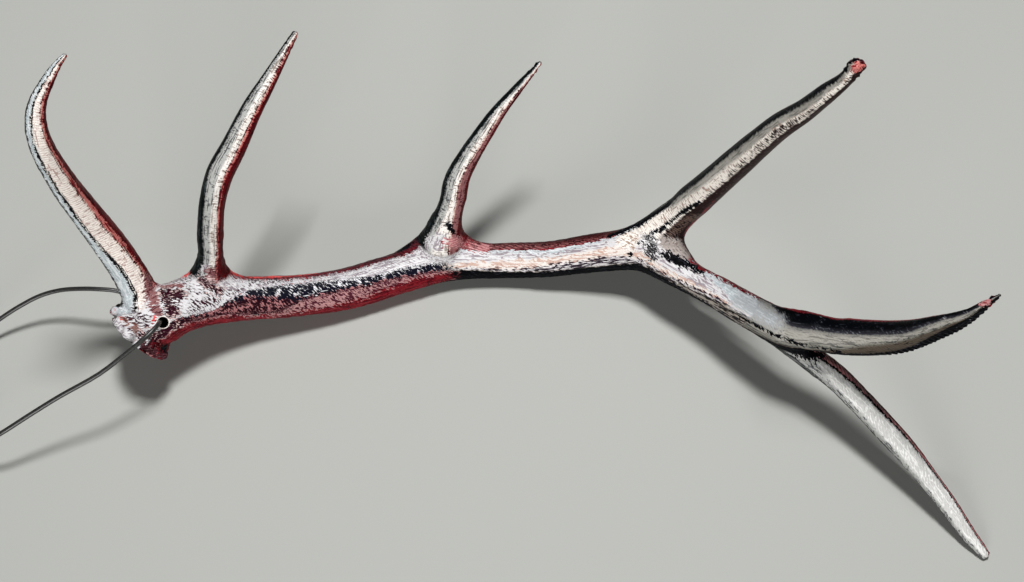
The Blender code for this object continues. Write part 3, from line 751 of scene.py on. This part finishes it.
def survey(places):
    """The fields of every painted branch, and each branch's share of each point."""
    fields = {name: branch_fields(name, places) for name in STATIONS}
    for name, root in ROOTS.items():
        fields[name]["reach"] += np.clip(1 - fields[name]["s"] / root, 0, 1) * ROOT_PUSH
    ended = np.clip((fields["beam"]["s"] - BEAM_END) / BEAM_FADE, 0, 1)
    fields["beam"]["reach"] += ended * END_PUSH
    shares = {name: np.exp(-SHARE_FALL * (f["reach"] ** 2 - 1)) for name, f in fields.items()}
    start, end = CHANGE_OF_BANDS
    changed = np.clip((fields["beam"]["s"] - start) / (end - start), 0, 1)
    fields["far_beam"] = dict(fields["beam"])
    shares["far_beam"] = shares["beam"] * changed
    shares["beam"] = shares["beam"] * (1 - changed)
    total = sum(shares.values()) + 1e-9
    return fields, {name: shares[name] / total for name in BANDS}


def owned(fields, shares, keys):
    """The asked-for fields of the branch that each point belongs to."""
    owner = np.argmax(np.stack([shares[name] for name in BANDS]), axis=0)
    return [np.choose(owner, [fields[name][key] for name in BANDS]) for key in keys]


def relief(places):
    """How far ridges, pearls, grooves, teeth and ragged ends stand out from the skin."""
    fields, shares = survey(places)
    s, x, y = owned(fields, shares, ("s", "x", "y"))
    runs = np.stack([s * RIDGE_RUN, x * RIDGES, y * RIDGES], axis=1)
    ridges = noise_at(runs) * RIDGE_HEIGHT * (1 - fork_share(places))
    pearls = noise_at(places * PEARLS) * np.interp(places[:, 0], *zip(*PEARL_HEIGHTS))
    pearls *= np.interp(places[:, 2], *zip(*PEARL_FADE))
    grooves = np.zeros(len(places))
    for line, half, depth in GROOVES:
        grooves -= depth * np.exp(-(gap_to_path(places, line) / half) ** 2)
    fifth = fields["fifth"]
    edge = np.clip(1 - np.abs(fifth["side"] - TOOTH_SIDE) / TOOTH_REACH, 0, 1) * (shares["fifth"] > 0.8)
    edge *= np.clip((fifth["s"] - TOOTH_START) / 4, 0, 1)
    teeth = edge * TOOTH_HEIGHT * (2 * ((fifth["s"] / TOOTH) % 1.0) - 1)
    ends = np.zeros(len(places))
    for name, start, height in RAGGED_ENDS:
        ends += np.clip((fields[name]["s"] - start) / 2.5, 0, 1) * (shares[name] > 0.5) * height
    behind = past_burr(places) + BURR_GROOVE_PLACE
    grooves -= BURR_GROOVE * np.exp(-(behind / BURR_GROOVE_HALF) ** 2)
    return ridges + pearls + grooves + teeth + ends * noise_at(places * 1.3)


def flat_base(places):
    """The points with everything past the base's plane pressed onto it."""
    past = past_burr(places) - BASE_STEP
    return places - np.maximum(past, 0)[:, None] * np.array(BURR_NORMAL)


def antler_mesh():
    """The antler's fine surface."""
    mesh = melted_skin()
    edges = read_rows(mesh.edges, "vertices", 2, np.int32)
    places = get_places(mesh)
    places = smoothed(places, edges, 0.5 - 0.35 * burr_share(places), SMOOTHING)
    places = smoothed(places, edges, 0.5 * fork_share(places), FORK_SMOOTHING)
    set_places(mesh, places)
    normals = read_rows(mesh.vertex_normals, "vector", 3).astype(float)
    places = places + relief(places)[:, None] * normals
    set_places(mesh, flat_base(places))
    return drilled(mesh)


def band_fields(name, fields):
    """The band that each point is in, counted from 0, and how many bands a millimetre holds there."""
    rows = BANDS[name][1]
    distances = sorted(rows)
    side = fields["side"]
    ends = [np.full(len(side), -2.0)]
    for column in zip(*(rows[d] for d in distances)):
        ends.append(np.interp(fields["s"], distances, column))
    ends.append(np.full(len(side), 2.0))
    band = np.zeros(len(side))
    rate = np.ones(len(side))
    for k, (low, high) in enumerate(zip(ends, ends[1:])):
        inside = (side >= low) & (side <= high)
        width = np.maximum(high - low, LEAST_BAND)
        band = np.where(inside, k + (side - low) / width, band)
        rate = np.where(inside, 1 / (width * fields["half"]), rate)
    return band, np.minimum(rate, MOST_BANDS)


def store(mesh, name, values):
    kind = "FLOAT" if values.ndim == 1 else "FLOAT_VECTOR"
    made = mesh.attributes.new(name, kind, "POINT")
    key = "value" if values.ndim == 1 else "vector"
    made.data.foreach_set(key, values.astype(np.float32).ravel())


def paint_fields(mesh):
    """Stores on the mesh what its material needs to know about each place."""
    places = get_places(mesh)
    fields, shares = survey(places)
    laid = np.zeros(len(places))
    for name in BANDS:
        f = fields[name]
        grain, ragged, _ = PRINT[name]
        laid += shares[name]
        band, rate = band_fields(name, f)
        own = shares[name] / np.maximum(laid, 1e-6)
        store(mesh, f"{name}_bands", np.stack([band, rate * ragged, own], axis=1))
        turn = math.radians(grain)
        f["line"] = math.cos(turn) * f["s"] + math.sin(turn) * f["x"]
        f["beside"] = math.cos(turn) * f["x"] - math.sin(turn) * f["s"]
    line, beside, s, x, y = owned(fields, shares, ("line", "beside", "s", "x", "y"))
    store(mesh, "lines", np.stack([line, beside, y], axis=1))
    store(mesh, "runs", np.stack([s, x, y], axis=1))
    store(mesh, "back", -y / np.hypot(x, y))
    # The distance from the hole's middle places the painted highlight round its mouth and the painted
    # shade on its walls.
    middle = [station[:3] for station in bore_stations()]
    store(mesh, "bore", gap_to_path(places, middle) / HOLE_RADIUS)
    for kind, blotches in BLOTCHES.items():
        marks = [1 - gap_to_path(places, line) / reach for reach, *line in blotches]
        store(mesh, f"{kind}_blotch", np.clip(np.max(marks, axis=0), -3, 1))


# ---- the antler's material
def band_stops(values, soft):
    """Ramp stops that hold each band's value, with a blend at its ends."""
    count = len(values)
    stops = [(0.0, values[0])]
    for k in range(1, count):
        stops.append(((k - soft) / count, values[k - 1]))
        stops.append(((k + soft) / count, values[k]))
    return [*stops, (1.0, values[-1])]


def attribute(tree, name, output="Fac"):
    made = tree.nodes.new("ShaderNodeAttribute")
    made.attribute_name = name
    return made.outputs[output]


def paint_values(paint):
    """A paint's ground, flecks and shares, as the values that three colour sockets carry."""
    ground, flecks, *shares = PAINTS[paint]
    return [(*tone(ground), 1.0), (*tone(flecks), 1.0), (*shares, 1.0)]


def over(tree, share, lower, upper):
    """Lays one set of the three paint values over another, by a share."""
    return [mixed(tree, share, a, b) for a, b in zip(lower, upper)]


def stretched_noise(tree, place, scale, roughness):
    stretched = node(tree, "ShaderNodeVectorMath", place, scale, operation="MULTIPLY")
    return node(tree, "ShaderNodeTexNoise", stretched, None, 1.0, 2.0, roughness)


def patterns(tree):
    """The print's patterns: dabs along its lines, streaks along the branch, hatching and grain."""
    lines = attribute(tree, "lines", "Vector")
    fine = stretched_noise(tree, lines, DAB_SCALE, 0.55)
    broad = node(tree, "ShaderNodeTexNoise", lines, None, BROAD_SCALE, 1.0, 0.5)
    dabs = math_node(tree, "ADD", fine, scaled(tree, broad, BROAD_SHARE))
    streaks = stretched_noise(tree, attribute(tree, "runs", "Vector"), STREAK_SCALE, 0.6)
    wander = math_node(tree, "MULTIPLY", dabs, 3.0)
    phase = scaled(tree, parted(tree, lines)[1], (2 * math.pi / HATCH_PITCH, wander))
    hatch = scaled(tree, math_node(tree, "SINE", phase), (0.5, 0.5))
    return dabs, streaks, hatch, stretched_noise(tree, lines, GRAIN_SCALE, 0.6)


def banded_paint(tree, shift):
    """The three paint values of the branches' bands, their edges moved by the shift."""
    made = None
    for name in BANDS:
        paints = [paint_values(paint) for paint in BANDS[name][0]]
        inside, rate, own = parted(tree, attribute(tree, f"{name}_bands", "Vector"))
        band = scaled(tree, shift, (rate, inside))
        share = math_node(tree, "DIVIDE", band, float(len(paints)), clamp=True)
        found = [ramp(tree, share, band_stops(values, PRINT[name][2])) for values in zip(*paints)]
        if made is None:
            made = found
            continue
        near = scaled(tree, shift, (1.5, own))
        made = over(tree, scaled(tree, near, BRANCH_EDGE, clamp=True), made, found)
    return made


def antler_material():
    made, tree, shader = new_material("silk_tri_colour")
    dabs, streaks, hatch, grain = patterns(tree)
    shift = math_node(tree, "SUBTRACT", dabs, 0.5)
    paint = banded_paint(tree, shift)
    behind = scaled(tree, attribute(tree, "back"), BACK_EDGE, clamp=True)
    paint = over(tree, behind, paint, paint_values("maroon"))
    for kind in BLOTCHES:
        push, sharp = SOFT_BLOTCHES.get(kind, BLOTCH_EDGE)
        rough = scaled(tree, shift, (push, attribute(tree, f"{kind}_blotch")))
        there = scaled(tree, rough, (sharp, -0.5), clamp=True)
        paint = over(tree, there, paint, paint_values(kind))
    # The cream ring round the hole's mouth is a painted highlight, and the black on the hole's walls is
    # painted shade.
    for edge, name in ((RIM_HIGHLIGHT_EDGE, "cream"), (BORE_SHADE_EDGE, "ink")):
        there = scaled(tree, attribute(tree, "bore"), edge, clamp=True)
        paint = over(tree, there, paint, paint_values(name))

    ground, flecks, levels = paint
    shares = parted(tree, levels, "Color")
    lined = math_node(tree, "MULTIPLY", hatch, shares[2])
    flecked = math_node(tree, "MULTIPLY", lined, HATCH_STRENGTH)
    for pattern, share in ((dabs, shares[0]), (streaks, shares[1])):
        above = math_node(tree, "ADD", pattern, scaled(tree, share, FLECK_LEVEL))
        flecked = math_node(tree, "MAXIMUM", scaled(tree, above, FLECK_EDGE, clamp=True), flecked)
    shaded = node(tree, "ShaderNodeVectorMath", mixed(tree, flecked, ground, flecks), operation="SCALE")
    tree.links.new(scaled(tree, grain, SHADE), shaded.node.inputs["Scale"])
    tree.links.new(shaded, shader.inputs["Base Color"])
    # Dark plastic shines least. The constant serves readers that drop the link.
    shader.inputs["Specular IOR Level"].default_value = EVEN_SHINE
    tree.links.new(scaled(tree, shaded, SHINE), shader.inputs["Specular IOR Level"])
    tree.links.new(scaled(tree, streaks, ROUGHNESS), shader.inputs["Roughness"])

    height = math_node(tree, "ADD", math_node(tree, "MULTIPLY", hatch, 0.35), dabs)
    raise_surface(tree, shader, math_node(tree, "ADD", height, streaks), 0.5, 0.15)
    return made


def make_antler():
    mesh = antler_mesh()
    antler = show(bpy.data.objects.new("antler", mesh))
    mesh.name = "antler"
    paint_fields(mesh)
    mesh.materials.clear()
    mesh.materials.append(antler_material())
    mesh.shade_smooth()
    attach(antler, "root")
    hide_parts(*[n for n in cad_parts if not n.startswith("cord")])


# ---- the cord
def ring_slots():
    """Where the turns lie in the bundle, out from its middle and up, as they are wound."""
    step, rise = TURN_SPACING, TURN_SPACING * math.sqrt(3) / 2
    slots = [(0.5, -1), (-0.5, -1), (-1, 0), (0, 0), (1, 0), (0.5, 1), (-0.5, 1)]
    return [(out * step, up * rise) for out, up in slots]


def coil_points():
    slots = ring_slots()
    points = []
    for i in range(round(COIL_TURNED * COIL_STEPS) + 1):
        turned = i / COIL_STEPS
        k = min(int(turned), len(slots) - 1)
        after = min(k + 1, len(slots) - 1)
        crossed = turned - k - (CROSSING_AT - CROSSING_LEAD * k)
        crossing = smooth_step(crossed / CROSSING_LENGTH + 0.5)
        out = slots[k][0] + (slots[after][0] - slots[k][0]) * crossing
        up = slots[k][1] + (slots[after][1] - slots[k][1]) * crossing
        angle = math.radians(COIL_START - 360 * turned)
        lift = TIE_LIFT * max(0.0, math.cos(angle - math.radians(TIE_ANGLE))) ** 4
        radius = COIL_RADIUS + out
        points.append((
            COIL_CENTRE[0] + radius * math.cos(angle),
            COIL_CENTRE[1] + radius * math.sin(angle),
            BUNDLE_HEIGHT + up + lift,
        ))
    return points


def cord_material():
    made, tree, shader = new_material("waxed_cord")
    shader.inputs["Coat Weight"].default_value = 0.3
    shader.inputs["Coat Roughness"].default_value = 0.4
    place = node(tree, "ShaderNodeTexCoord", output=3)
    weave = node(tree, "ShaderNodeTexNoise", place, None, WEAVE, 2.0, 0.5)
    colour = ramp(tree, weave, [(0.3, CORD_DARK), (0.75, CORD_PALE)])
    tree.links.new(colour, shader.inputs["Base Color"])
    tree.links.new(scaled(tree, weave, CORD_ROUGHNESS), shader.inputs["Roughness"])
    raise_surface(tree, shader, weave, 0.3, 0.05)
    return made


def make_tie(finish):
    """The tie that holds the coil, a narrow band with rounded edges."""
    bpy.ops.mesh.primitive_torus_add(
        major_radius=(TIE_BORE + TIE_THICKNESS / 2) * MM,
        minor_radius=TIE_THICKNESS / 2 * MM,
        major_segments=64,
        minor_segments=20,
    )
    tie = bpy.context.object
    tie.name = "coil_tie"
    tie.data.transform(Matrix.Diagonal((1, 1, TIE_WIDTH / TIE_THICKNESS, 1)))
    side = math.radians(TIE_ANGLE)
    tie.rotation_euler = (math.pi / 2, 0, side)
    tie.location = (
        (COIL_CENTRE[0] + COIL_RADIUS * math.cos(side)) * MM,
        (COIL_CENTRE[1] + COIL_RADIUS * math.sin(side)) * MM,
        (BUNDLE_HEIGHT + TIE_LIFT) * MM,
    )
    tie.data.materials.append(finish)
    tie.data.shade_smooth()
    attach(tie, "root")
    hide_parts("cord_tie")
    return tie


def make_cord():
    finish = cord_material()
    points = through([*NEAR_STRAND, *coil_points(), *FAR_STRAND], 4)
    curve = bpy.data.curves.new("cord", "CURVE")
    curve.dimensions = "3D"
    curve.bevel_depth = CORD_DIAMETER / 2 * MM
    curve.bevel_resolution = 4
    curve.use_fill_caps = True
    spline = curve.splines.new("POLY")
    spline.points.add(len(points) - 1)
    for place, point in zip(spline.points, points):
        place.co = (*(point * MM), 1.0)
    spline.use_smooth = True
    cord = show(bpy.data.objects.new("hanging_cord", curve))
    curve.materials.append(finish)
    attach(cord, "root")
    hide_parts("cord", "cord_coil")
    tie = make_tie(finish)


# ---- the studio
def make_camera():
    data = bpy.data.cameras.new("camera")
    data.lens = CAMERA_LENS
    data.clip_start = CAMERA_NEAR
    camera = show(bpy.data.objects.new("camera", data))
    camera.location = Vector(CAMERA_PLACE) * MM
    camera.rotation_euler = Euler((math.radians(90 - CAMERA_ELEVATION), 0, 0))
    bpy.context.scene.camera = camera


def soft_light(name, place, size, power, aim):
    data = bpy.data.lights.new(name, "AREA")
    data.size = size * MM
    data.energy = power
    lamp = show(bpy.data.objects.new(name, data))
    lamp.location = Vector(place) * MM
    lamp.rotation_euler = (Vector(aim) - Vector(place)).to_track_quat("-Z", "Y").to_euler()


def make_studio():
    for name, settings in LAMPS.items():
        soft_light(name, *settings)
    world = bpy.data.worlds.new("studio")
    bpy.context.scene.world = world
    world.use_nodes = True
    background = world.node_tree.nodes["Background"]
    background.inputs["Color"].default_value = SKY_COLOUR
    background.inputs["Strength"].default_value = SKY_STRENGTH
    bpy.context.scene.view_settings.view_transform = "Standard"
    bpy.ops.mesh.primitive_plane_add(size=FLOOR_WIDTH * MM, location=(0, 0, -FLOOR_DROP * MM))
    floor = bpy.context.object
    floor.name = "floor"
    finish, _, shader = new_material("pale_floor")
    shader.inputs["Base Color"].default_value = (*tone(FLOOR_TONE), 1)
    shader.inputs["Roughness"].default_value = FLOOR_ROUGHNESS
    floor.data.materials.append(finish)


make_camera()
make_cord()
make_antler()
make_studio()
